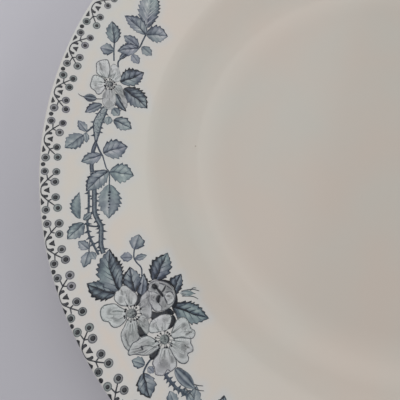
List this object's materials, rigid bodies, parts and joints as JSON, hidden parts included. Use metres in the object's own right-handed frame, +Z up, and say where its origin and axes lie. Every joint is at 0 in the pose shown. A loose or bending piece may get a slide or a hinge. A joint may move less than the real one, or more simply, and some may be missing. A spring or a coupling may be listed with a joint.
{
  "type": "dinner plate",
  "caption": "Round earthenware dinner plate with a flat well, wide sloping border, low foot ring, printed rose garlands and a berry and scallop edging.",
  "frame": {"origin": "on the plate's axis, in the plane of the foot ring's bearing edge", "axes": "+Z up out of the well, along the plate's axis; -X through the middle of one garland"},
  "size_m": [0.24, 0.24, 0.0236],
  "materials": {
    "fired_clay": "matt fired earthenware",
    "glaze": "glossy cream glaze",
    "dark_ink": "blue-black print under gloss glaze",
    "mid_ink": "slate blue print under gloss glaze",
    "leaf_ink": "dark blue print under gloss glaze",
    "pale_ink": "pale blue-grey print under gloss glaze",
    "petal_ink": "whitish print with fine shading under gloss glaze",
    "bud_ink": "blue-grey print under gloss glaze"
  },
  "bodies": {
    "root": {"clay_body": "fired_clay", "face_glaze": "glaze", "back_glaze": "glaze", "border_dots": "dark_ink", "border_berries": "dark_ink", "border_stalks": "dark_ink", "border_scallops": "dark_ink", "border_triangles": "dark_ink", "garland_stems": "mid_ink", "dark_leaves": "leaf_ink", "pale_leaves": "pale_ink", "rose_petals": "petal_ink", "rose_stamens": "dark_ink", "rose_buds": "bud_ink"}
  },
  "joints": []
}
